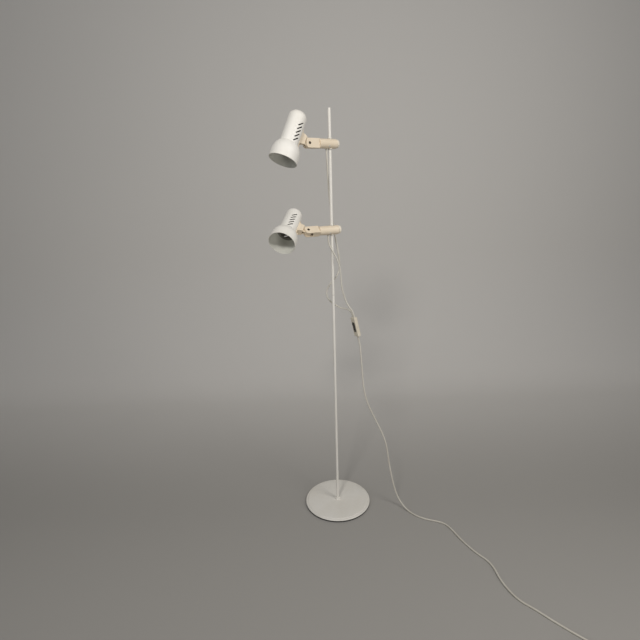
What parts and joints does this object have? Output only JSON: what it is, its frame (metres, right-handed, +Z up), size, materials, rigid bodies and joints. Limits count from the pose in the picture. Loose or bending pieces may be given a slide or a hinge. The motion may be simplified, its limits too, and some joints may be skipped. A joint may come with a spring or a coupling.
{
  "type": "floor_lamp",
  "caption": "Floor lamp with a round weighted base, a slim two-piece pole, two clamped arms with bell-shaped spot heads that slide, turn, roll and tilt, and an in-line rocker switch",
  "frame": {"origin": "centre of the underside of the round base, where the pole's axis meets the floor", "axes": "+Z up along the pole, +X to the right of the picture, +Y away from its camera"},
  "size_m": [0.9277, 0.8762, 1.49],
  "materials": {
    "white_paint": "satin",
    "white_plastic": "satin",
    "iron": "rough cast",
    "rubber": "matte",
    "steel": "zinc plated",
    "cream_plastic": "satin",
    "liner": "matte",
    "dark_plastic": "matte",
    "brass": "plain",
    "switch_cream": "gloss",
    "black_plastic": "gloss",
    "cord_pvc": "satin",
    "nickel": "polished"
  },
  "bodies": {
    "stand": {"base_cover": "white_paint", "base_weight": "iron", "base_pad": "rubber", "pole_washer": "steel", "pole_nut": "steel", "pole_stud": "steel", "pole_collar": "white_paint", "pole_lower": "white_paint", "pole_joint": "steel", "pole_upper": "white_paint", "pole_cap": "white_plastic", "switch_front": "switch_cream", "switch_back": "switch_cream", "switch_screws": "steel", "rocker_pin": "steel", "switch_terminals": "brass", "switch_glands": "cord_pvc", "upper_cord": "cord_pvc", "lower_cord": "cord_pvc", "mains_lead": "cord_pvc", "mains_coil": "cord_pvc", "plug_body": "switch_cream", "plug_pins": "nickel"},
    "rocker": {"switch_rocker": "black_plastic"},
    "upper_carriage": {"upper_clamp_bush": "liner"},
    "upper_clamp": {"upper_clamp_barrel": "cream_plastic", "upper_cord_screw": "steel", "upper_cord_grommet": "cord_pvc", "upper_guide_pin": "steel"},
    "upper_shoe": {"upper_clamp_shoe": "liner"},
    "upper_knob": {"upper_clamp_screw": "steel", "upper_clamp_knob": "cream_plastic"},
    "upper_fork": {"upper_fork": "cream_plastic", "upper_pivot_screw": "steel", "upper_pivot_nut": "steel", "upper_friction_washers": "liner"},
    "upper_head": {"upper_knuckle": "cream_plastic", "upper_shade": "white_paint", "upper_saddle_screws": "steel", "upper_lamp_holder": "dark_plastic", "upper_lamp_contacts": "brass", "upper_holder_bracket": "steel"},
    "lower_carriage": {"lower_clamp_bush": "liner"},
    "lower_clamp": {"lower_clamp_barrel": "cream_plastic", "lower_cord_screw": "steel", "lower_cord_grommet": "cord_pvc", "lower_guide_pin": "steel"},
    "lower_shoe": {"lower_clamp_shoe": "liner"},
    "lower_knob": {"lower_clamp_screw": "steel", "lower_clamp_knob": "cream_plastic"},
    "lower_fork": {"lower_fork": "cream_plastic", "lower_pivot_screw": "steel", "lower_pivot_nut": "steel", "lower_friction_washers": "liner"},
    "lower_head": {"lower_knuckle": "cream_plastic", "lower_shade": "white_paint", "lower_saddle_screws": "steel", "lower_lamp_holder": "dark_plastic", "lower_lamp_contacts": "brass", "lower_holder_bracket": "steel"}
  },
  "joints": [
    {"name": "upper_height", "type": "slide", "parent": "stand", "child": "upper_carriage", "axis": [0, 0, 1], "range_m": [-0.025, 0.07], "deforming": ["upper_cord"]},
    {"name": "upper_swivel", "type": "hinge", "parent": "upper_carriage", "child": "upper_clamp", "pos_m": [0, 0, 1.38], "axis": [0, 0, 1], "range_deg": [-150, 150]},
    {"name": "upper_roll", "type": "hinge", "parent": "upper_clamp", "child": "upper_fork", "pos_m": [-0.0303, -0.02376, 1.38], "axis": [-0.7869, -0.617, 0], "range_deg": [-93.4, 86.6]},
    {"name": "upper_tilt", "type": "hinge", "parent": "upper_fork", "child": "upper_head", "pos_m": [-0.07161, -0.05615, 1.38], "axis": [0.6159, -0.7855, 0.0593], "range_deg": [-61.6, 48.4]},
    {"name": "upper_shoe_slide", "type": "slide", "parent": "upper_clamp", "child": "upper_shoe", "axis": [0.7869, 0.617, 0], "range_m": [0, 0.0015]},
    {"name": "upper_knob_turn", "type": "hinge", "parent": "upper_shoe", "child": "upper_knob", "pos_m": [0.02148, 0.01685, 1.38], "axis": [0.7869, 0.617, 0], "range_deg": [0, 540]},
    {"name": "lower_height", "type": "slide", "parent": "stand", "child": "lower_carriage", "axis": [0, 0, 1], "range_m": [-0.15, 0.015], "deforming": ["lower_cord"]},
    {"name": "lower_swivel", "type": "hinge", "parent": "lower_carriage", "child": "lower_clamp", "pos_m": [0, 0, 1.0995], "axis": [0, 0, 1], "range_deg": [-75, 150]},
    {"name": "lower_roll", "type": "hinge", "parent": "lower_clamp", "child": "lower_fork", "pos_m": [-0.03486, -0.01633, 1.0995], "axis": [-0.9056, -0.4242, 0], "range_deg": [-138.4, 41.6]},
    {"name": "lower_tilt", "type": "hinge", "parent": "lower_fork", "child": "lower_head", "pos_m": [-0.08241, -0.0386, 1.0995], "axis": [0.2816, -0.6012, 0.7478], "range_deg": [-54.7, 55.3]},
    {"name": "lower_shoe_slide", "type": "slide", "parent": "lower_clamp", "child": "lower_shoe", "axis": [0.9056, 0.4242, 0], "range_m": [0, 0.0015]},
    {"name": "lower_knob_turn", "type": "hinge", "parent": "lower_shoe", "child": "lower_knob", "pos_m": [0.02472, 0.01158, 1.0995], "axis": [0.9056, 0.4242, 0], "range_deg": [0, 540]},
    {"name": "rocker_press", "type": "hinge", "parent": "stand", "child": "rocker", "pos_m": [0.0778, -0.0013, 0.74653], "axis": [-0.4891, 0.866, -0.104], "range_deg": [0, 14]}
  ],
  "couplings": [
    {"joint": "upper_shoe_slide", "follows": "upper_knob_turn", "m_per_rad": 0.00015915},
    {"joint": "lower_shoe_slide", "follows": "lower_knob_turn", "m_per_rad": 0.00015915}
  ]
}
